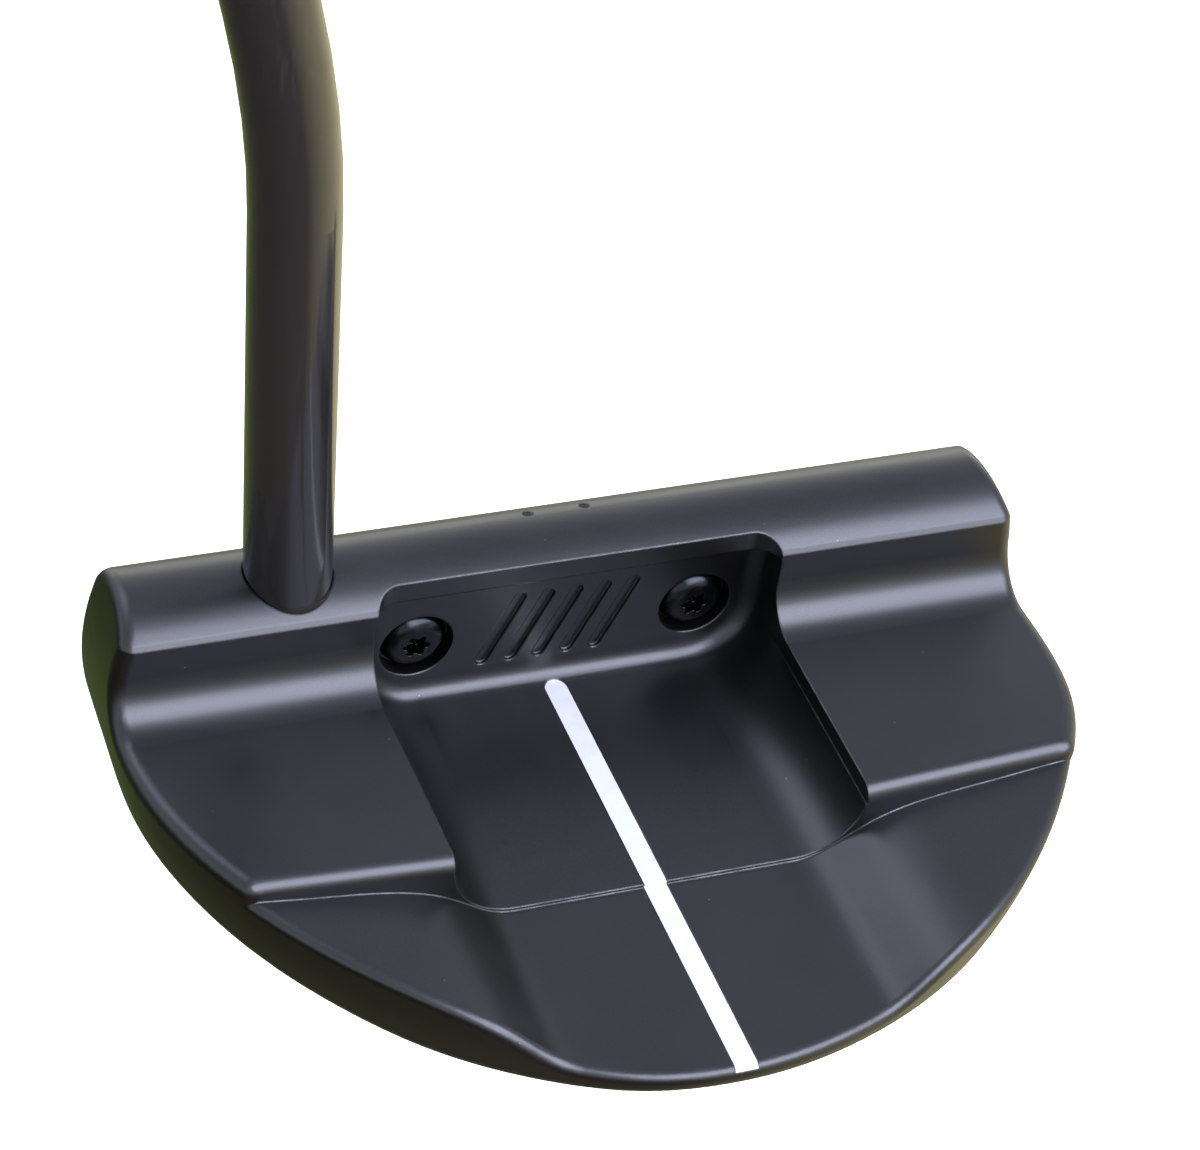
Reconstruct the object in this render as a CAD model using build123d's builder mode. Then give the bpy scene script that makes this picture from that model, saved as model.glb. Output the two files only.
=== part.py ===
"""Mallet putter: a winged, milled head with a bolted face insert, screwed-in sole weights,
a double-bend shaft and a rubber grip.

Millimetres. +Z up, +Y towards the target, +X towards the toe. The sole stands on z = 0 and the
origin is the middle of its flat.
"""

from build123d import *
import math
import os

os.makedirs("parts", exist_ok=True)

# ---------------------------------------------------------------- driving dimensions
# Head, seen from the side (y, z)
face_y = 33.0  # face plane where it meets the ground plane
face_loft = 3.0  # degrees that the face leans back
band_back_y = 20.0  # rear edge of the raised band behind the face
band_back_z = 23.5
crown_y = 27.5  # highest line of the band
crown_z = 25.9
band_front_z = 24.6
channel_r = 4.8  # concave channel between the band and the wings
wing_z = 14.4  # flat top of the wings
ridge_y = -7.9  # rear wall of the wings at the pocket
ridge_sweep = 1.6  # how far the wings' rear wall comes forward at its outer end
ridge_r = 1.7
rear_y = -35.4  # rearmost point of the flange

# Head, seen from above (x, y)
half_band = 50.9
half_width = 52.4

# Pocket between the wings, and the flange behind it
pocket_half = 23.2
pocket_front_y = 24.8  # recessed front wall
pocket_front_r = 2.0
pocket_corner_r = 3.0
lip_y = 22.4  # lip over that wall
lip_z = 22.4  # underside of the lip
floor_z = 6.0
floor_r = 7.5
flange_z = 5.6
flange_corner_z = 12.3
flange_front_y = 1.1  # where its block begins, inside the wings

# Sole
sole_flat_half = 14.0
sole_rise_x = 6.5  # rise of the sole at heel and toe
sole_flat_rear_y = -8.0
sole_rise_y = 2.9  # rise of the sole at the rear edge
widest_z = 11.0  # the sides draw in above and below this height
outline_top_z = 28.0
side_in_top = 2.0
outline_low_z = -2.0
side_in_low = 4.6
rear_in_low = 3.4
sole_edge_r = 2.4

# Round-overs of the head's other edges
outer_r = 1.6  # ends of the band, channel and wings
rim_r = 1.0  # upper edge of the flange
bevel = 0.45  # rear edge of the band

# Face insert and its two screws
insert_width = 50.0
insert_height = 18.0
insert_depth = 3.4
damper_depth = 0.5
insert_corner_r = 5.0
insert_mid_z = 12.6
face_screw_x = 16.2
face_screw_z = 13.3
face_screw_head_r = 3.7
face_screw_head_h = 2.1
face_screw_r = 2.0
face_screw_seat_r = 4.2
torx_r = 1.55
seat_wall = 1.6  # metal left between the insert's recess and the screw heads
emblem_z = 13.8
rib_length = 10.5
rib_width = 1.5
rib_pitch = 3.3
rib_angle = 68.0
rib_depth = 0.5

# Sole weights
weight_x = 35.0
weight_y = 8.0
weight_r = 9.0
weight_h = 6.0
weight_gap = 0.06
weight_screw_r = 2.0
weight_screw_head_r = 3.75
weight_screw_head_h = 2.2
washer_h = 0.6
thread_insert_r = 2.9
thread_insert_h = 4.2

# Marks
line_width = 2.5
line_depth = 0.45
dot_spacing = 6.5
dot_y = 29.8
dot_r = 0.62

# Shaft
shaft_tip_r = 4.7
shaft_butt_r = 7.6
shaft_wall = 0.8
shaft_x = -31.5
shaft_y = 26.0
shaft_base_z = 25.4
bore_depth = 17.0
glue_gap = 0.1
tip_lean = 0.08  # sideways travel of the lower straight per unit of height
lie = 70.0
club_length = 889.0
first_bend_rise = 60.0
second_bend_rise = 45.0
bend_out = 0.25
bend_r = 80.0
taper_start = 60.0

# Grip
grip_length = 267.0
tape_gap = 0.25
cap_h = 3.0


def face_at(height):
    """y of the face plane at a height."""
    return face_y - height * math.tan(math.radians(face_loft))


# ---------------------------------------------------------------- head body
# Outline seen from above, from the face to the rear, for each half
toe_points = [
    (half_band - 0.6, face_y + 6.0),
    (half_band + 0.6, 24.0),
    (half_width, 11.0),
    (51.2, 0.0),
    (47.7, -7.0),
    (40.7, -16.3),
    (31.7, -24.6),
    (18.5, -31.6),
    (0.0, rear_y),
]
heel_points = [
    (0.6 - half_band, face_y + 6.0),
    (-half_band - 0.5, 24.0),
    (-51.6, 12.0),
    (-48.6, 0.5),
    (-45.1, -6.3),
    (-38.6, -14.9),
    (-30.3, -23.1),
    (-17.9, -31.1),
    (0.0, rear_y),
]


def head_outline(height, side_in=0.0, rear_in=0.0):
    """Draws the head's outline at a height, moved in at the sides and at the rear."""
    x_scale = 1 - side_in / half_width
    y_scale = 1 - rear_in / -rear_y
    with BuildSketch(Plane.XY.offset(height)) as drawn:
        for half_points, side in ((toe_points, 1), (heel_points, -1)):
            points = [(x * x_scale, y * y_scale) for x, y in half_points]
            with BuildLine():
                Line((0, points[0][1]), points[0])
                Spline(*points, tangents=[(side * 0.13, -1), (-side, 0)])
                Line(points[-1], (0, points[0][1]))
            make_face()
    return drawn.sketch


with BuildPart() as envelope:
    add(head_outline(outline_low_z, side_in_low, rear_in_low))
    add(head_outline(widest_z))
    add(head_outline(outline_top_z, side_in_top))
    loft()

# Planes that several pieces share
lean = math.atan(tip_lean)
tip_direction = (-math.sin(lean), 0, math.cos(lean))
bore_bottom = (
    shaft_x - bore_depth * tip_direction[0],
    shaft_y,
    shaft_base_z - bore_depth * tip_direction[2],
)
tip_plane = Plane(origin=bore_bottom, x_dir=(0, 1, 0), z_dir=tip_direction)
face_normal = (0, math.cos(math.radians(face_loft)), math.sin(math.radians(face_loft)))
face_plane = Plane(origin=(0, face_at(insert_mid_z), insert_mid_z), x_dir=(1, 0, 0), z_dir=face_normal)
back_normal = (0, -face_normal[1], -face_normal[2])
seat_y = face_at(face_screw_z) - insert_depth - damper_depth - seat_wall
seat_plane = Plane(origin=(0, seat_y, face_screw_z), x_dir=(1, 0, 0), z_dir=back_normal)
emblem_plane = Plane(origin=(0, pocket_front_y, emblem_z), x_dir=(1, 0, 0), z_dir=(0, -1, 0))
weight_low_z = 1.7  # underside of the weights, just inside the risen sole
weight_top_z = weight_low_z + weight_h

# The sole: flat in the middle, rising to heel and toe and to the rear
camber_x_r = ((half_width - sole_flat_half) ** 2 + sole_rise_x**2) / (2 * sole_rise_x)
camber_y_r = ((sole_flat_rear_y - rear_y) ** 2 + sole_rise_y**2) / (2 * sole_rise_y)


def sole_section(y):
    """Draws the region under the sole's heel-to-toe profile, in the upright plane at y."""
    reach = half_width + 6
    drop = camber_x_r - math.sqrt(camber_x_r**2 - (reach - sole_flat_half) ** 2)
    with BuildSketch(Plane.XZ.offset(-y)) as drawn:
        with BuildLine():
            Line((-sole_flat_half, 0), (sole_flat_half, 0))
            TangentArc((sole_flat_half, 0), (reach, drop), tangent=(1, 0))
            Polyline((reach, drop), (reach, -9), (-reach, -9), (-reach, drop))
            TangentArc((-sole_flat_half, 0), (-reach, drop), tangent=(-1, 0))
        make_face()
    return drawn.sketch


with BuildPart() as under_sole:
    add(sole_section(face_y + 8))
    extrude(amount=face_y + 8 - sole_flat_rear_y, dir=(0, -1, 0))
    add(sole_section(sole_flat_rear_y))
    revolve(axis=Axis((0, sole_flat_rear_y, camber_y_r), (1, 0, 0)), revolution_arc=-22)

with BuildPart() as pocket:
    with BuildSketch(Plane.XZ.offset(-pocket_front_y)):
        with BuildLine():
            floor_end = (pocket_half - floor_r, floor_z)
            wall_start = (pocket_half, floor_z + floor_r)
            Line((0, floor_z), floor_end)
            TangentArc(floor_end, wall_start, tangent=(1, 0))
            Polyline(wall_start, (pocket_half, lip_z), (0, lip_z), (0, floor_z))
        make_face()
        mirror(about=Plane.YZ)
    extrude(amount=pocket_front_y - ridge_y)
    front_edges = pocket.edges().filter_by_position(Axis.Y, pocket_front_y - 0.01, pocket_front_y + 0.01)
    fillet(front_edges.sort_by(Axis.Z)[:-1], radius=pocket_front_r)
    with BuildSketch(Plane.XY.offset(wing_z - 2)) as mouth:
        with Locations((0, (lip_y + ridge_y) / 2 - 5)):
            Rectangle(2 * pocket_half, lip_y - ridge_y + 10)
        fillet(mouth.vertices().group_by(Axis.Y)[-1], radius=pocket_corner_r)
    extrude(amount=20)

with BuildPart() as wings:
    # Band, channel and wings: one profile drawn through the whole width
    with BuildSketch(Plane.YZ):
        with BuildLine():
            channel_end = (band_back_y - channel_r, wing_z)
            channel_top = (band_back_y, wing_z + channel_r)
            band_front = (face_at(band_front_z), band_front_z)
            band_back = (band_back_y + bevel, band_back_z + bevel / 3)
            ThreePointArc(band_front, (crown_y, crown_z), band_back)
            Polyline(band_back, (band_back_y, band_back_z - bevel), channel_top)
            TangentArc(channel_end, channel_top, tangent=(1, 0))
            Polyline(channel_end, (ridge_y, wing_z), (ridge_y, -2), (face_at(-2), -2), band_front)
        make_face()
    extrude(amount=half_width + 5, both=True)
    add(envelope.part, mode=Mode.INTERSECT)
    ends = wings.edges().filter_by(lambda edge: edge.bounding_box().min.Z > wing_z - 0.1)
    ends = ends.filter_by(lambda edge: abs(edge.center().X) > 40 and edge.bounding_box().max.Y < face_y)
    fillet(ends, radius=outer_r)
    # The wings' rear wall comes forward towards its outer ends
    with BuildSketch():
        for side in (-1, 1):
            with BuildLine():
                Polyline(
                    (side * pocket_half, ridge_y),
                    (side * (half_width + 6), ridge_y + ridge_sweep * 1.25),
                    (side * (half_width + 6), ridge_y - 3),
                    (side * pocket_half, ridge_y - 3),
                    close=True,
                )
            make_face()
    extrude(amount=30, both=True, mode=Mode.SUBTRACT)
    ridge_edges = wings.edges().filter_by_position(Axis.Z, wing_z - 0.01, wing_z + 0.01)
    fillet(ridge_edges.filter_by_position(Axis.Y, ridge_y - 1, ridge_y + 3), radius=ridge_r)

with BuildPart() as flange:
    # One profile from heel to toe, drawn back to the rear edge
    with BuildSketch(Plane.XZ.offset(-flange_front_y)):
        with BuildLine():
            floor_end = (pocket_half - floor_r, flange_z)
            outer = (half_width + 5, flange_corner_z + 0.6)
            Spline(
                floor_end, (20.6, 7.4), (23.6, 9.3), (27.0, 10.6), (37.0, 11.8), outer, tangents=[(1, 0), (1, 0.03)]
            )
            Polyline(outer, (outer[0], -2), (0, -2), (0, flange_z), floor_end)
        make_face()
        mirror(about=Plane.YZ)
    extrude(amount=flange_front_y - rear_y + 6)
    add(envelope.part, mode=Mode.INTERSECT)
    rim = flange.edges().filter_by(GeomType.BSPLINE)
    rim = rim.filter_by(lambda edge: edge.bounding_box().min.Z > flange_z - 0.1)
    fillet(rim.filter_by(lambda edge: edge.bounding_box().min.Y < ridge_y - 20), radius=rim_r)

with BuildPart() as head:
    add(wings.part)
    add(flange.part)
    add(under_sole.part, mode=Mode.SUBTRACT)
    sole_edges = head.edges().filter_by(GeomType.BSPLINE)
    sole_edges = sole_edges.filter_by(lambda edge: edge.bounding_box().max.Z < sole_rise_x)
    sole_edges = sole_edges.filter_by(lambda edge: abs(edge.center().X) > 40 or edge.bounding_box().min.Z < 3)
    fillet(sole_edges, radius=sole_edge_r)

    # Pocket between the wings, open to the rear, under a lip along its front wall
    add(pocket.part, mode=Mode.SUBTRACT)

    # Bore for the shaft
    with Locations(tip_plane):
        Cylinder(
            shaft_tip_r + glue_gap,
            bore_depth + 20,
            align=(Align.CENTER, Align.CENTER, Align.MIN),
            mode=Mode.SUBTRACT,
        )

    # Recess for the face insert, the screw holes behind it and their seats in the pocket wall
    with BuildSketch(face_plane):
        RectangleRounded(insert_width, insert_height, insert_corner_r)
    extrude(amount=-insert_depth - damper_depth, mode=Mode.SUBTRACT)
    with BuildSketch(seat_plane):
        with Locations((-face_screw_x, 0), (face_screw_x, 0)):
            Circle(face_screw_r + 0.2)
    extrude(amount=-6, mode=Mode.SUBTRACT)
    with BuildSketch(seat_plane):
        with Locations((-face_screw_x, 0), (face_screw_x, 0)):
            Circle(face_screw_seat_r)
    extrude(amount=6, mode=Mode.SUBTRACT)

    # Slanted ribs milled into the pocket wall between the screws
    with BuildSketch(emblem_plane):
        with Locations(*[(rib * rib_pitch, 0) for rib in range(-2, 3)]):
            SlotOverall(rib_length, rib_width, rotation=rib_angle)
    extrude(amount=-rib_depth, mode=Mode.SUBTRACT)

    # Seats for the sole weights, their threaded inserts and screws
    with BuildSketch():
        with Locations((-weight_x, weight_y), (weight_x, weight_y)):
            Circle(weight_r + weight_gap)
    extrude(amount=weight_top_z + washer_h, mode=Mode.SUBTRACT)
    with BuildSketch():
        with Locations((-weight_x, weight_y), (weight_x, weight_y)):
            Circle(thread_insert_r)
    extrude(amount=weight_top_z + washer_h + thread_insert_h, mode=Mode.SUBTRACT)

    # Sighting dots on the band
    with BuildSketch(Plane.XY.offset(crown_z + 1)):
        with Locations((-dot_spacing / 2, dot_y), (dot_spacing / 2, dot_y)):
            Circle(dot_r)
    extrude(amount=-1.7, mode=Mode.SUBTRACT)

# The sight line is enamel in a groove that follows the pocket floor and the flange
with BuildPart() as line_tool:
    line_front = pocket_front_y - 1.3
    line_run = line_front - ridge_y + line_width
    with BuildSketch(Plane.XY.offset(floor_z - line_depth)):
        with Locations((0, line_front - line_run / 2)):
            SlotOverall(line_run, line_width, rotation=90)
    extrude(amount=3)
    with BuildSketch(Plane.XY.offset(flange_z - line_depth)):
        with Locations((0, (ridge_y + rear_y) / 2 - 1)):
            Rectangle(line_width, ridge_y - rear_y + 2)
    extrude(amount=3)
with BuildPart() as sight_line:
    add(head.part)
    add(line_tool.part, mode=Mode.INTERSECT)
with BuildPart() as head_body:
    add(head.part)
    add(line_tool.part, mode=Mode.SUBTRACT)


def save(piece, name):
    """Labels a finished piece and writes its STEP file."""
    piece.label = name
    export_step(piece, f"parts/{name}.step")


save(head_body.part, "head_body")
save(sight_line.part, "sight_line")

# ---------------------------------------------------------------- face insert
groove_pitch = 1.5
groove_depth = 0.2
with BuildPart() as face_insert:
    with BuildSketch(face_plane):
        RectangleRounded(insert_width, insert_height, insert_corner_r)
    extrude(amount=-insert_depth)
    with BuildSketch(face_plane):
        with GridLocations(0, groove_pitch, 1, 9):
            Rectangle(insert_width - 2 * insert_corner_r, 0.6)
    extrude(amount=-groove_depth, mode=Mode.SUBTRACT)
    with BuildSketch(seat_plane.offset(0.1 - seat_wall - damper_depth)):
        with Locations((-face_screw_x, 0), (face_screw_x, 0)):
            Circle(face_screw_r + 0.02)
    extrude(amount=-2.8, mode=Mode.SUBTRACT)
save(face_insert.part, "face_insert")

with BuildPart() as insert_damper:
    with BuildSketch(face_plane.offset(-insert_depth)):
        RectangleRounded(insert_width - 0.2, insert_height - 0.2, insert_corner_r - 0.1)
    extrude(amount=-damper_depth)
    with BuildSketch(seat_plane):
        with Locations((-face_screw_x, 0), (face_screw_x, 0)):
            Circle(face_screw_r + 0.2)
    extrude(amount=-6, mode=Mode.SUBTRACT)
save(insert_damper.part, "insert_damper")


def torx_recess(radius):
    """Draws a six-lobed driver recess about the origin."""
    with BuildSketch() as drawn:
        Circle(radius * 0.74)
        with PolarLocations(radius * 0.74, 6):
            Circle(radius * 0.26)
        with PolarLocations(radius * 0.92, 6, start_angle=30):
            Circle(radius * 0.2, mode=Mode.SUBTRACT)
    return drawn.sketch


def button_screw(plane, head_radius, head_height, shank_radius, shank_length, recess_radius):
    """A round-headed screw whose head stands on a plane and whose shank goes back through it."""
    with BuildPart() as screw:
        with BuildSketch(Plane.XZ) as half:
            with BuildLine():
                rim = (head_radius, head_height * 0.3)
                crown = (head_radius * 0.56, head_height)
                Polyline((0, -shank_length), (shank_radius - 0.3, -shank_length))
                Polyline((shank_radius - 0.3, -shank_length), (shank_radius, 0.3 - shank_length))
                Polyline((shank_radius, 0.3 - shank_length), (shank_radius, 0), (head_radius, 0), rim)
                ThreePointArc(rim, (head_radius * 0.84, head_height * 0.77), crown)
                Polyline(crown, (0, head_height), (0, -shank_length))
            make_face()
        revolve(axis=Axis.Z)
        with BuildSketch(Plane.XY.offset(head_height)):
            add(torx_recess(recess_radius))
        extrude(amount=-head_height * 0.75, mode=Mode.SUBTRACT)
    return plane.location * screw.part


for end, side in (("heel", -1), ("toe", 1)):
    seat = Plane(
        origin=(side * face_screw_x, seat_plane.origin.Y, face_screw_z),
        x_dir=(1, 0, 0),
        z_dir=back_normal,
    )
    face_screw = button_screw(
        seat, face_screw_head_r, face_screw_head_h, face_screw_r, seat_wall + damper_depth + 2.3, torx_r
    )
    save(face_screw, f"face_screw_{end}")

# ---------------------------------------------------------------- sole weights
for end, side in (("heel", -1), ("toe", 1)):
    middle = (side * weight_x, weight_y)
    with BuildPart() as weight:
        with BuildSketch(Plane.XY.offset(weight_low_z)):
            with Locations(middle):
                Circle(weight_r)
        extrude(amount=weight_h)
        chamfer(weight.edges().group_by(Axis.Z)[0], length=0.4)
        with BuildSketch(Plane.XY.offset(weight_low_z)):
            with Locations(middle):
                Circle(weight_screw_head_r + 0.08)
        extrude(amount=weight_screw_head_h, mode=Mode.SUBTRACT)
        with BuildSketch(Plane.XY.offset(weight_low_z)):
            with Locations(middle):
                Circle(weight_screw_r + 0.08)
        extrude(amount=weight_h, mode=Mode.SUBTRACT)
    save(weight.part, f"sole_weight_{end}")

    with BuildPart() as washer:
        with BuildSketch(Plane.XY.offset(weight_top_z)):
            with Locations(middle):
                Circle(weight_r - 0.6)
                Circle(weight_screw_r + 1.2, mode=Mode.SUBTRACT)
        extrude(amount=washer_h)
    save(washer.part, f"weight_washer_{end}")

    with BuildPart() as thread_insert:
        with BuildSketch(Plane.XY.offset(weight_top_z + washer_h)):
            with Locations(middle):
                Circle(thread_insert_r)
                Circle(weight_screw_r + 0.06, mode=Mode.SUBTRACT)
        extrude(amount=thread_insert_h - 0.2)
    save(thread_insert.part, f"thread_insert_{end}")

    screw_seat = Plane(
        origin=(*middle, weight_low_z + weight_screw_head_h), x_dir=(1, 0, 0), z_dir=(0, 0, -1)
    )
    weight_screw = button_screw(
        screw_seat,
        weight_screw_head_r,
        weight_screw_head_h - 0.1,
        weight_screw_r,
        weight_h - weight_screw_head_h + washer_h + thread_insert_h - 0.6,
        torx_r,
    )
    save(weight_screw, f"weight_screw_{end}")

# ---------------------------------------------------------------- shaft
lie_direction = (-math.cos(math.radians(lie)), 0, math.sin(math.radians(lie)))


def along(start, direction, distance):
    """The point at a distance from a start."""
    return tuple(p + distance * d for p, d in zip(start, direction))


shaft_foot = along(bore_bottom, tip_direction, 0.6)
first_bend = along(bore_bottom, tip_direction, bore_depth + first_bend_rise)
second_bend = (
    first_bend[0] - bend_out * second_bend_rise,
    first_bend[1] + bend_out * second_bend_rise,
    first_bend[2] + second_bend_rise,
)
taper_foot = along(second_bend, lie_direction, taper_start)
upper_length = club_length - taper_foot[2] / lie_direction[2]
upper_plane = Plane(origin=taper_foot, x_dir=(0, 1, 0), z_dir=lie_direction)
foot_plane = Plane(origin=shaft_foot, x_dir=(0, 1, 0), z_dir=tip_direction)


def shaft_radius(distance):
    """Outer radius of the tapered part of the shaft, at a distance up from where the taper starts."""
    return shaft_tip_r + (shaft_butt_r - shaft_tip_r) * distance / upper_length


with BuildPart() as shaft:
    with BuildLine() as bent_line:
        FilletPolyline(shaft_foot, first_bend, second_bend, taper_foot, radius=bend_r)
    with BuildSketch(foot_plane):
        Circle(shaft_tip_r)
        Circle(shaft_tip_r - shaft_wall, mode=Mode.SUBTRACT)
    sweep(path=bent_line.line)
    with Locations(upper_plane):
        Cone(
            shaft_tip_r, shaft_butt_r, upper_length, align=(Align.CENTER, Align.CENTER, Align.MIN)
        )
        Cone(
            shaft_tip_r - shaft_wall,
            shaft_butt_r - shaft_wall,
            upper_length,
            align=(Align.CENTER, Align.CENTER, Align.MIN),
            mode=Mode.SUBTRACT,
        )
save(shaft.part, "shaft")

with BuildPart() as adhesive:
    with Locations(tip_plane):
        Cylinder(
            shaft_tip_r + glue_gap, bore_depth - 0.6, align=(Align.CENTER, Align.CENTER, Align.MIN)
        )
    with Locations(foot_plane):
        Cylinder(
            shaft_tip_r, bore_depth, align=(Align.CENTER, Align.CENTER, Align.MIN), mode=Mode.SUBTRACT
        )
save(adhesive.part, "shaft_adhesive")

with BuildPart() as tip_plug:
    with Locations(foot_plane):
        Cylinder(
            shaft_tip_r - shaft_wall, 8, align=(Align.CENTER, Align.CENTER, Align.MIN)
        )
save(tip_plug.part, "shaft_tip_plug")

# ---------------------------------------------------------------- grip
grip_foot_distance = upper_length - grip_length
grip_plane = Plane(
    origin=along(taper_foot, lie_direction, grip_foot_distance), x_dir=(0, 1, 0), z_dir=lie_direction
)
tape_foot_r = shaft_radius(grip_foot_distance) + tape_gap
tape_butt_r = shaft_butt_r + tape_gap

with BuildPart() as grip_tape:
    with Locations(grip_plane):
        Cone(
            tape_foot_r, tape_butt_r, grip_length, align=(Align.CENTER, Align.CENTER, Align.MIN)
        )
        Cone(
            tape_foot_r - tape_gap,
            shaft_butt_r,
            grip_length,
            align=(Align.CENTER, Align.CENTER, Align.MIN),
            mode=Mode.SUBTRACT,
        )
save(grip_tape.part, "grip_tape")

# Sections of the pistol grip: share of its length, width, depth, corner radius, shift to the back
grip_sections = [
    (0.0, 18.6, 18.6, 9.2, 0.0),
    (0.25, 20.6, 21.4, 8.8, 0.6),
    (0.6, 22.6, 23.8, 8.6, 1.2),
    (0.85, 25.0, 28.0, 9.0, 2.2),
    (1.0, 25.6, 29.0, 9.4, 2.6),
]
with BuildPart() as grip:
    for share, width, depth, corner, shift in grip_sections:
        with BuildSketch(grip_plane.offset(share * grip_length)):
            with Locations((0, shift)):
                RectangleRounded(width, depth, corner)
    loft()
    with Locations(grip_plane):
        Cone(
            tape_foot_r,
            tape_butt_r,
            grip_length,
            align=(Align.CENTER, Align.CENTER, Align.MIN),
            mode=Mode.SUBTRACT,
        )
save(grip.part, "grip")

with BuildPart() as grip_cap:
    with BuildSketch(grip_plane.offset(grip_length)):
        with Locations((0, grip_sections[-1][4])):
            RectangleRounded(*grip_sections[-1][1:4])
    extrude(amount=cap_h)
    fillet(grip_cap.faces().sort_by(Axis(grip_plane.origin, lie_direction))[-1].edges(), radius=cap_h * 0.7)
    with BuildSketch(grip_plane.offset(grip_length)):
        Circle(1.0)
    extrude(amount=cap_h, mode=Mode.SUBTRACT)
save(grip_cap.part, "grip_end_cap")
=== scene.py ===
"""Looks for a mallet putter: anodised metal, enamel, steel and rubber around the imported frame.

Metres, in the frame of the CAD model: +Z up, +Y towards the target, +X towards the toe.
"""

import math

import bpy
from mathutils import Matrix, Vector


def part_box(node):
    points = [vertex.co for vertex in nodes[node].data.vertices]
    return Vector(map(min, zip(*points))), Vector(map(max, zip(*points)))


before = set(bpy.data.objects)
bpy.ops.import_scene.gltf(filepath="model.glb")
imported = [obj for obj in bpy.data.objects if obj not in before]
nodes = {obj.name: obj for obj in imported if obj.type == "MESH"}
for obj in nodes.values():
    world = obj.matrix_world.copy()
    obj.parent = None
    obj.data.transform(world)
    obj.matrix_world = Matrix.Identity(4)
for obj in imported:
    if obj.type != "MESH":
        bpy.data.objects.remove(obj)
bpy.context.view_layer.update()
MM = 0.001
UPRIGHT = (0.0, 0.0, 1.0)

# ---------------------------------------------------------------- camera
AIM = Vector((1.57, 20.03, 24.36)) * MM
CAMERA_AZIMUTH = -27.77
CAMERA_ELEVATION = 41.15
CAMERA_ROLL = 10.56
CAMERA_DISTANCE = 468.4 * MM
LENS = 132.4
SENSOR = 36.0


def camera_axes(azimuth, elevation, roll):
    """Right, up and back vectors of a camera at an azimuth and elevation about the object."""
    a = math.radians(azimuth)
    e = math.radians(elevation)
    r = math.radians(roll)
    back = Vector((math.sin(a) * math.cos(e), -math.cos(a) * math.cos(e), math.sin(e)))
    right = Vector((math.cos(a), math.sin(a), 0.0))
    up = back.cross(right)
    return right * math.cos(r) + up * math.sin(r), up * math.cos(r) - right * math.sin(r), back


def add_camera():
    """The camera of the main view."""
    right, up, back = camera_axes(CAMERA_AZIMUTH, CAMERA_ELEVATION, CAMERA_ROLL)
    data = bpy.data.cameras.new("camera")
    data.lens = LENS
    data.sensor_width = SENSOR
    data.sensor_fit = "HORIZONTAL"
    data.clip_start = 0.01
    data.clip_end = 50
    camera = bpy.data.objects.new("camera", data)
    bpy.context.scene.collection.objects.link(camera)
    turn = Matrix((right, up, back)).transposed().to_4x4()
    camera.matrix_world = Matrix.Translation(AIM + back * CAMERA_DISTANCE) @ turn
    bpy.context.scene.camera = camera


add_camera()


# ---------------------------------------------------------------- node helpers
class Graph:
    """A short way to write a material's nodes."""

    def __init__(self, tree):
        self.tree = tree

    def add(self, kind, values=None, **settings):
        """A new node, with its settings and the values or links of its inputs."""
        made = self.tree.nodes.new("ShaderNode" + kind)
        for name, value in settings.items():
            setattr(made, name, value)
        for socket, value in (values or {}).items():
            self.put(made.inputs[socket], value)
        return made

    def put(self, socket, value):
        """Gives an input a value, or links it to another node's output."""
        if isinstance(value, bpy.types.NodeSocket):
            self.tree.links.new(value, socket)
        else:
            socket.default_value = value

    def math(self, operation, a, b=0.0):
        """The output of a Math node."""
        return self.add("Math", {0: a, 1: b}, operation=operation).outputs[0]

    def fit(self, value, low, high, to_low=0.0, to_high=1.0):
        """A value moved from one range to another."""
        ends = {"From Min": low, "From Max": high, "To Min": to_low, "To Max": to_high}
        return self.add("MapRange", {"Value": value, **ends}).outputs["Result"]

    def blend(self, factor, a, b):
        """One of two colours, or a mix of them."""
        mixer = self.add("Mix", data_type="RGBA")
        self.put(mixer.inputs["Factor"], factor)
        self.put(mixer.inputs["A"], a)
        self.put(mixer.inputs["B"], b)
        return mixer.outputs["Result"]

    def noise(self, where, size, detail=2.0, roughness=0.5):
        """Noise whose spots are about a size across."""
        inputs = {"Vector": where, "Scale": 1 / size, "Detail": detail, "Roughness": roughness}
        return self.add("TexNoise", inputs).outputs["Fac"]

    def bump(self, height, distance, normal=None):
        """A bump of a real height, over the plain normal or another one."""
        made = self.add("Bump", {"Height": height, "Distance": distance, "Strength": 1.0})
        if normal is not None:
            self.put(made.inputs["Normal"], normal)
        return made.outputs["Normal"]


def grey(level, tint=(1.0, 1.0, 1.0)):
    """A colour of a given level."""
    return (level * tint[0], level * tint[1], level * tint[2], 1.0)


def start(name, metallic=0.0, roughness=0.5, **constants):
    """A new material, its graph and its shader, with the values that stay the same all over."""
    material = bpy.data.materials.new(name)
    material.use_nodes = True
    shader = material.node_tree.nodes["Principled BSDF"]
    shader.inputs["Metallic"].default_value = metallic
    shader.inputs["Roughness"].default_value = roughness
    for socket, value in constants.items():
        shader.inputs[socket.replace("_", " ")].default_value = value
    graph = Graph(material.node_tree)
    where = graph.add("TexCoord").outputs["Object"]
    return material, graph, shader, where


def edge_finish(graph, radius):
    """A softened normal at sharp edges, and a mask that is 1 along them."""
    soft = graph.add("Bevel", {"Radius": radius}, samples=6).outputs["Normal"]
    true = graph.add("NewGeometry").outputs["True Normal"]
    turn = graph.add("VectorMath", {0: soft, 1: true}, operation="DOT_PRODUCT").outputs["Value"]
    return soft, graph.fit(turn, 0.995, 0.88)


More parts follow.
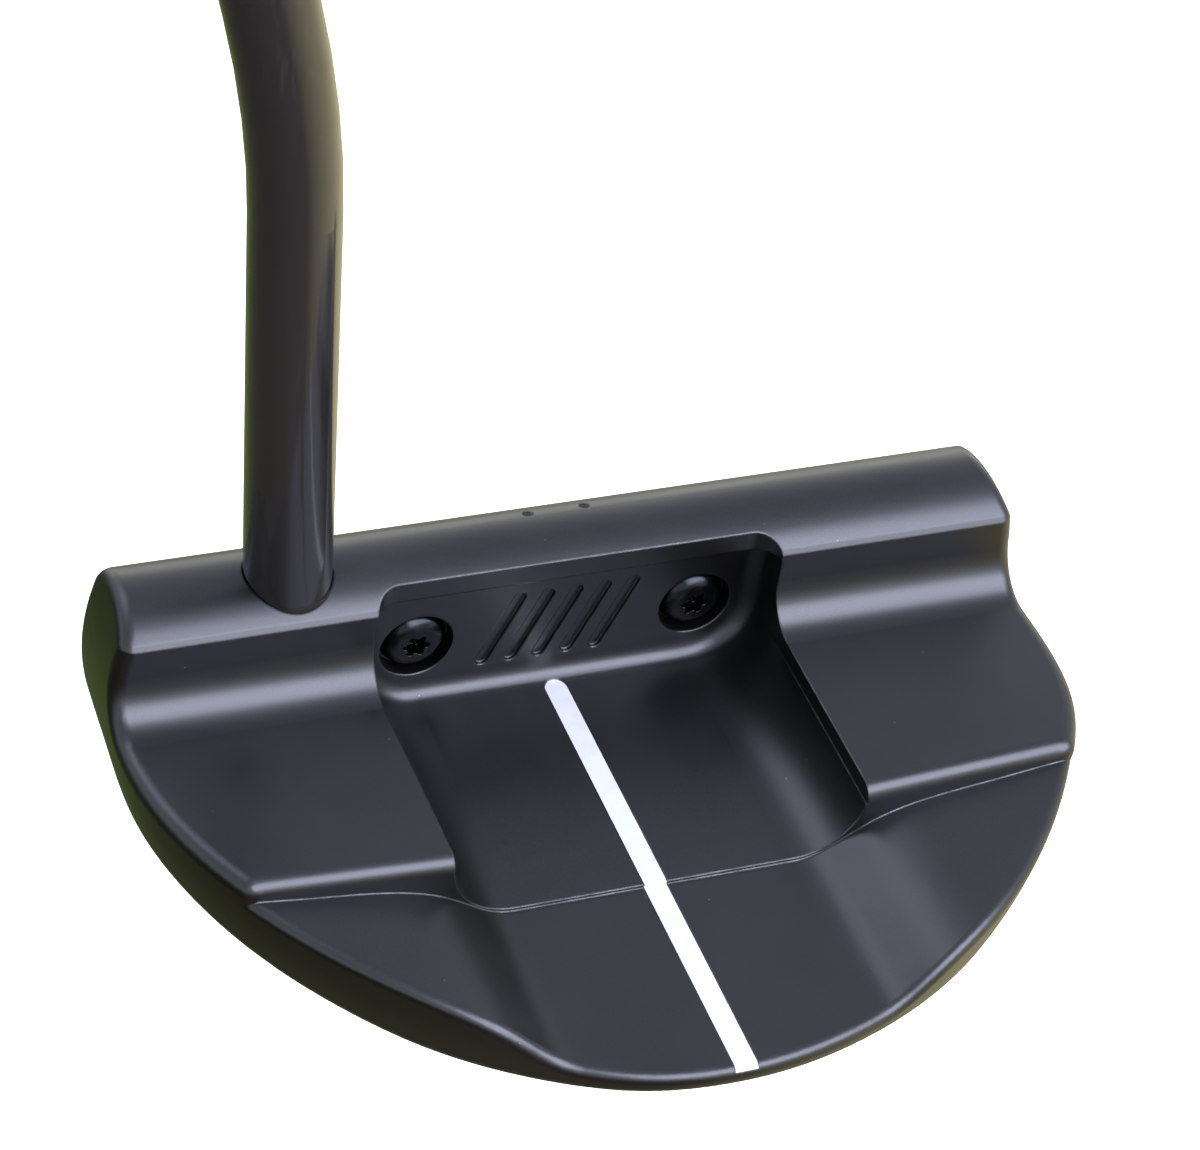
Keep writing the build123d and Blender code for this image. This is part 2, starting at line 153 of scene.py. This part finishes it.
# ---------------------------------------------------------------- materials
def anodised_metal():
    """Bead-blasted aluminium under a satin black anodised layer. Its edges are lightened, partly as wear
    polished through the anodising and partly as a painted highlight.
    """
    material, graph, shader, where = start("anodised_metal", metallic=1.0)
    soft, edge = edge_finish(graph, 0.34 * MM)
    cloud = graph.noise(where, 14 * MM, detail=3)
    grain = graph.noise(where, 0.16 * MM, detail=3, roughness=0.6)
    speck = graph.add("TexVoronoi", {"Vector": where, "Scale": 1 / (2.6 * MM)}).outputs["Distance"]
    rare = graph.noise(where, 9 * MM, detail=1)
    dust = graph.math("MULTIPLY", graph.fit(speck, 0.045, 0.03), graph.fit(rare, 0.58, 0.62))
    dark = grey(0.078, (0.97, 1.0, 1.03))
    light = grey(0.088, (0.98, 1.0, 1.02))
    lightest = grey(0.094, (0.99, 1.0, 1.02))
    body = graph.blend(graph.fit(cloud, 0.35, 0.65), dark, light)
    body = graph.blend(graph.fit(grain, 0.3, 0.7), body, lightest)
    # Edges lightened towards pale grey: partly wear, partly a painted highlight standing in for the bright
    # lines that light makes along the bevelled edges.
    edge_wear_and_highlight = graph.math("MULTIPLY", edge, graph.fit(graph.noise(where, 2.2 * MM, detail=4), 0.38, 0.66))
    body = graph.blend(graph.math("MULTIPLY", edge_wear_and_highlight, 0.45), body, grey(0.3))
    body = graph.blend(graph.math("MULTIPLY", dust, 0.5), body, grey(0.4))
    graph.put(shader.inputs["Base Color"], body)
    matt = graph.fit(cloud, 0.3, 0.7, 0.335, 0.385)
    graph.put(shader.inputs["Roughness"], graph.math("SUBTRACT", matt, graph.math("MULTIPLY", edge, 0.05)))
    graph.put(shader.inputs["Normal"], graph.bump(grain, 0.0035 * MM, soft))
    return material


def white_enamel():
    """Enamel run into the groove of the sight line, slightly uneven."""
    material, graph, shader, where = start("white_enamel", roughness=0.32, Specular_IOR_Level=0.45)
    flow = graph.noise(where, 2.4 * MM, detail=2)
    pit = graph.noise(where, 0.35 * MM, detail=2)
    thin = grey(0.80, (0.985, 0.995, 1.03))
    thick = grey(0.86, (0.99, 1.0, 1.02))
    graph.put(shader.inputs["Base Color"], graph.blend(graph.fit(flow, 0.35, 0.65), thin, thick))
    height = graph.math("ADD", flow, graph.math("MULTIPLY", pit, 0.15))
    graph.put(shader.inputs["Normal"], graph.bump(height, 0.03 * MM))
    return material


def turned_rings(graph, where, centre, axis, pitch):
    """Rings about an axis through a point, as a lathe leaves them, from 0 to 1."""
    arm = graph.add("VectorMath", {0: where, 1: centre}, operation="SUBTRACT").outputs["Vector"]
    across = graph.add("VectorMath", {0: arm, 1: axis}, operation="CROSS_PRODUCT").outputs["Vector"]
    radius = graph.add("VectorMath", {0: across}, operation="LENGTH").outputs["Value"]
    wave = graph.math("SINE", graph.math("MULTIPLY", radius, 2 * math.pi / pitch))
    return graph.fit(wave, -1.0, 1.0)


def middle(name):
    """The middle of a node's box."""
    low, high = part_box(name)
    return tuple((a + b) / 2 for a, b in zip(low, high))


def black_screw(node, axis):
    """A black oxide screw, turned about its axis and lightly oiled."""
    material, graph, shader, where = start(node, metallic=1.0)
    soft, edge = edge_finish(graph, 0.16 * MM)
    rings = turned_rings(graph, where, middle(node), axis, 0.14 * MM)
    stain = graph.noise(where, 1.1 * MM, detail=4)
    oxide = grey(0.032, (0.9, 1.0, 1.12))
    rubbed = grey(0.05, (0.95, 1.0, 1.08))
    tone = graph.blend(graph.fit(stain, 0.35, 0.65), oxide, rubbed)
    tone = graph.blend(graph.math("MULTIPLY", edge, 0.35), tone, grey(0.13))
    graph.put(shader.inputs["Base Color"], tone)
    graph.put(shader.inputs["Roughness"], graph.fit(stain, 0.3, 0.7, 0.2, 0.3))
    graph.put(shader.inputs["Normal"], graph.bump(rings, 0.0015 * MM, soft))
    return material


def turned_steel(name, node, level, tint):
    """Turned stainless steel or brass with fine rings about the node's upright axis."""
    material, graph, shader, where = start(name, metallic=1.0)
    soft, edge = edge_finish(graph, 0.2 * MM)
    rings = turned_rings(graph, where, middle(node), UPRIGHT, 0.22 * MM)
    stain = graph.noise(where, 3 * MM, detail=4)
    tone = graph.blend(graph.fit(stain, 0.35, 0.65), grey(level * 0.88, tint), grey(level, tint))
    tone = graph.blend(graph.math("MULTIPLY", edge, 0.5), tone, grey(min(1.0, level * 1.25), tint))
    graph.put(shader.inputs["Base Color"], tone)
    graph.put(shader.inputs["Roughness"], graph.fit(stain, 0.3, 0.7, 0.22, 0.34))
    graph.put(shader.inputs["Normal"], graph.bump(rings, 0.004 * MM, soft))
    return material


CUTTER_RADIUS = 90 * MM


def milled_insert():
    """Face insert: bead-blasted steel with the faint arcs of the milling cutter between its grooves."""
    material, graph, shader, where = start("milled_insert", metallic=1.0)
    soft, edge = edge_finish(graph, 0.15 * MM)
    x, y, z = middle("face_insert")
    cutter = (x, y, z + CUTTER_RADIUS)
    arcs = turned_rings(graph, where, cutter, (0.0, 1.0, 0.0), 0.55 * MM)
    grain = graph.noise(where, 0.2 * MM, detail=3)
    cloud = graph.noise(where, 9 * MM, detail=3)
    dull = grey(0.40, (1.0, 1.0, 1.02))
    bright = grey(0.47, (1.0, 1.0, 1.01))
    tone = graph.blend(graph.fit(cloud, 0.35, 0.65), dull, bright)
    tone = graph.blend(graph.math("MULTIPLY", edge, 0.4), tone, grey(0.7))
    graph.put(shader.inputs["Base Color"], tone)
    graph.put(shader.inputs["Roughness"], graph.fit(cloud, 0.3, 0.7, 0.28, 0.36))
    height = graph.math("ADD", arcs, graph.math("MULTIPLY", grain, 0.6))
    graph.put(shader.inputs["Normal"], graph.bump(height, 0.006 * MM, soft))
    return material


def shaft_paint():
    """Gloss black paint over a steel tube, with fine orange peel and light scuffs along it."""
    gloss = {"Specular_IOR_Level": 0.62, "Coat_Weight": 0.6, "Coat_Roughness": 0.1}
    material, graph, shader, where = start("shaft_paint", **gloss)
    peel = graph.noise(where, 1.4 * MM, detail=2)
    stretched = graph.add("Mapping", {"Vector": where, "Scale": (1.0, 1.0, 0.05)}).outputs["Vector"]
    scuff = graph.fit(graph.noise(stretched, 0.5 * MM, detail=4), 0.56, 0.72)
    scuff = graph.math("MULTIPLY", scuff, graph.fit(graph.noise(where, 30 * MM, detail=2), 0.45, 0.65))
    tone = graph.blend(graph.math("MULTIPLY", scuff, 0.5), grey(0.011, (1.1, 1.0, 0.95)), grey(0.035))
    graph.put(shader.inputs["Base Color"], tone)
    graph.put(shader.inputs["Roughness"], graph.fit(scuff, 0.0, 1.0, 0.17, 0.34))
    graph.put(shader.inputs["Normal"], graph.bump(peel, 0.012 * MM))
    return material


def rubber(name, level, size, height):
    """Moulded rubber with a fine pebble and a dusty bloom in broad patches."""
    material, graph, shader, where = start(name, Specular_IOR_Level=0.3)
    cell = graph.add("TexVoronoi", {"Vector": where, "Scale": 1 / size}).outputs["Distance"]
    bloom = graph.noise(where, 12 * MM, detail=4)
    tone = graph.blend(graph.fit(bloom, 0.35, 0.68), grey(level), grey(level * 1.7, (1.0, 1.0, 0.98)))
    graph.put(shader.inputs["Base Color"], tone)
    graph.put(shader.inputs["Roughness"], graph.fit(bloom, 0.3, 0.7, 0.52, 0.68))
    graph.put(shader.inputs["Normal"], graph.bump(graph.math("POWER", cell, 1.6), height))
    return material


def polymer(name, colour, roughness, size=0.5 * MM):
    """Moulded plastic with a fine spark-eroded grain."""
    material, graph, shader, where = start(name)
    grain = graph.noise(where, size, detail=3)
    cloud = graph.noise(where, 8 * size, detail=2)
    darker = tuple(channel * 0.82 for channel in colour[:3]) + (1.0,)
    graph.put(shader.inputs["Base Color"], graph.blend(graph.fit(cloud, 0.35, 0.65), darker, colour))
    graph.put(shader.inputs["Roughness"], graph.fit(grain, 0.3, 0.7, roughness - 0.05, roughness + 0.05))
    graph.put(shader.inputs["Normal"], graph.bump(grain, 0.01 * MM))
    return material


def woven_tape():
    """Double-sided cloth tape under the grip, a plain weave."""
    material, graph, shader, where = start("woven_tape", roughness=0.8, Specular_IOR_Level=0.2)
    threads = []
    for direction in ("Z", "Y"):
        inputs = {"Vector": where, "Scale": 1 / (2.5 * MM)}
        threads.append(graph.add("TexWave", inputs, bands_direction=direction).outputs["Fac"])
    weave = graph.math("MAXIMUM", *threads)
    hollow = grey(0.45, (1.0, 0.96, 0.85))
    crest = grey(0.66, (1.0, 0.97, 0.9))
    graph.put(shader.inputs["Base Color"], graph.blend(weave, hollow, crest))
    graph.put(shader.inputs["Normal"], graph.bump(weave, 0.05 * MM))
    return material


def wear(node, material):
    """Gives every slot of a CAD node one material."""
    mesh = nodes[node].data
    if not mesh.materials:
        mesh.materials.append(material)
    for slot in nodes[node].material_slots:
        slot.material = material


wear("head_body", anodised_metal())
wear("sight_line", white_enamel())
wear("face_insert", milled_insert())
wear("insert_damper", polymer("damper_polymer", (0.03, 0.03, 0.033, 1.0), 0.6))
FACE_LOFT = math.radians(3.0)
FACE_SCREW_AXIS = (0.0, math.cos(FACE_LOFT), math.sin(FACE_LOFT))
STEEL_TINT = (1.0, 0.99, 0.97)
BRASS_TINT = (1.0, 0.78, 0.42)
for end in ("heel", "toe"):
    face_screw, weight_screw = f"face_screw_{end}", f"weight_screw_{end}"
    weight, thread = f"sole_weight_{end}", f"thread_insert_{end}"
    wear(face_screw, black_screw(face_screw, FACE_SCREW_AXIS))
    wear(weight_screw, black_screw(weight_screw, UPRIGHT))
    wear(weight, turned_steel(f"weight_steel_{end}", weight, 0.6, STEEL_TINT))
    wear(thread, turned_steel(f"brass_{end}", thread, 0.75, BRASS_TINT))
    wear(f"weight_washer_{end}", polymer(f"washer_{end}", (0.55, 0.55, 0.5, 1.0), 0.5))
wear("shaft", shaft_paint())
wear("shaft_adhesive", polymer("adhesive", (0.02, 0.018, 0.016, 1.0), 0.35))
wear("shaft_tip_plug", polymer("plug_plastic", (0.3, 0.3, 0.31, 1.0), 0.5))
wear("grip_tape", woven_tape())
wear("grip", rubber("grip_rubber", 0.017, 0.9 * MM, 0.09 * MM))
wear("grip_end_cap", rubber("cap_rubber", 0.02, 0.6 * MM, 0.04 * MM))


# ---------------------------------------------------------------- light and floor
WORLD_STRENGTH = 2.7


def studio_world():
    """Dim surroundings, so that dark metal reads as dark.

    Cool grey above. Below, brown behind and olive in front, warm and light towards the toe,
    nearly black beyond the heel.
    """
    world = bpy.data.worlds.new("studio")
    bpy.context.scene.world = world
    world.use_nodes = True
    graph = Graph(world.node_tree)
    direction = graph.add("TexCoord").outputs["Generated"]
    along_x, along_y, height = graph.add("SeparateXYZ", {0: direction}).outputs
    brown = grey(0.06, (1.25, 0.9, 0.85))
    olive = grey(0.075, (0.9, 1.15, 0.35))
    warm = grey(0.42, (1.1, 0.98, 0.6))
    black = grey(0.02, (1.1, 1.0, 0.8))
    low = graph.blend(graph.fit(along_y, -0.6, 0.7), brown, olive)
    low = graph.blend(graph.fit(along_x, 0.2, 0.9), low, warm)
    low = graph.blend(graph.fit(along_x, -0.2, -0.85), low, black)
    haze = grey(0.34, (0.95, 1.0, 1.08))
    zenith = grey(0.2, (0.9, 1.0, 1.18))
    high = graph.blend(graph.fit(height, 0.15, 0.7), haze, zenith)
    background = world.node_tree.nodes["Background"]
    graph.put(background.inputs["Color"], graph.blend(graph.fit(height, -0.08, 0.16), low, high))
    background.inputs["Strength"].default_value = WORLD_STRENGTH


def area_light(name, direction, distance, size, radiance, colour):
    """A soft rectangular light seen from the object in a direction, with a real radiance."""
    data = bpy.data.lights.new(name, "AREA")
    data.shape = "RECTANGLE"
    data.size, data.size_y = size
    data.energy = radiance * math.pi * size[0] * size[1]
    data.color = colour
    light = bpy.data.objects.new(name, data)
    bpy.context.scene.collection.objects.link(light)
    light.location = AIM + Vector(direction).normalized() * distance
    light.rotation_euler = (AIM - light.location).to_track_quat("-Z", "Y").to_euler()


studio_world()
LILAC = (0.78, 0.80, 1.0)
DAYLIGHT = (1.0, 0.97, 0.92)
area_light("softbox_back", (0.35, -0.64, 0.72), 0.9, (1.1, 0.7), 5.4, LILAC)
area_light("softbox_top", (-0.35, 0.55, 0.75), 1.0, (0.5, 0.6), 1.5, LILAC)
area_light("softbox_front", (0.3, 0.95, 0.12), 1.2, (1.6, 0.3), 2.0, DAYLIGHT)


def square(name, half, z):
    """A flat square."""
    mesh = bpy.data.meshes.new(name)
    corners = [(-half, -half, z), (half, -half, z), (half, half, z), (-half, half, z)]
    mesh.from_pydata(corners, [], [(0, 1, 2, 3)])
    obj = bpy.data.objects.new(name, mesh)
    bpy.context.scene.collection.objects.link(obj)
    return obj


FLOOR_Z = -0.12
BACKDROP_RADIUS = 6.0
FLOOR_GLOW = 0.8
BACKDROP_GLOW = 0.9


def pale_paper(name, glow):
    """Pale studio paper, lit from within so that it stays even."""
    material, graph, shader, where = start(name, roughness=0.9, Emission_Strength=glow)
    fibre = graph.noise(where, 4 * MM, detail=3)
    graph.put(shader.inputs["Base Color"], graph.blend(fibre, grey(0.84), grey(0.88)))
    shader.inputs["Emission Color"].default_value = grey(1.0)
    return material


def add_stage():
    """The floor, and a pale dome behind everything that only the camera sees."""
    floor = square("floor", BACKDROP_RADIUS, FLOOR_Z)
    floor.data.materials.append(pale_paper("pale_floor", FLOOR_GLOW))
    floor.visible_glossy = False
    bpy.ops.mesh.primitive_uv_sphere_add(segments=48, ring_count=24, radius=BACKDROP_RADIUS)
    dome = bpy.context.object
    dome.name = "backdrop"
    dome.data.materials.append(pale_paper("pale_backdrop", BACKDROP_GLOW))
    dome.visible_diffuse = False
    dome.visible_glossy = False
    dome.visible_transmission = False
    dome.visible_shadow = False


add_stage()
bpy.context.scene.view_settings.view_transform = "Standard"
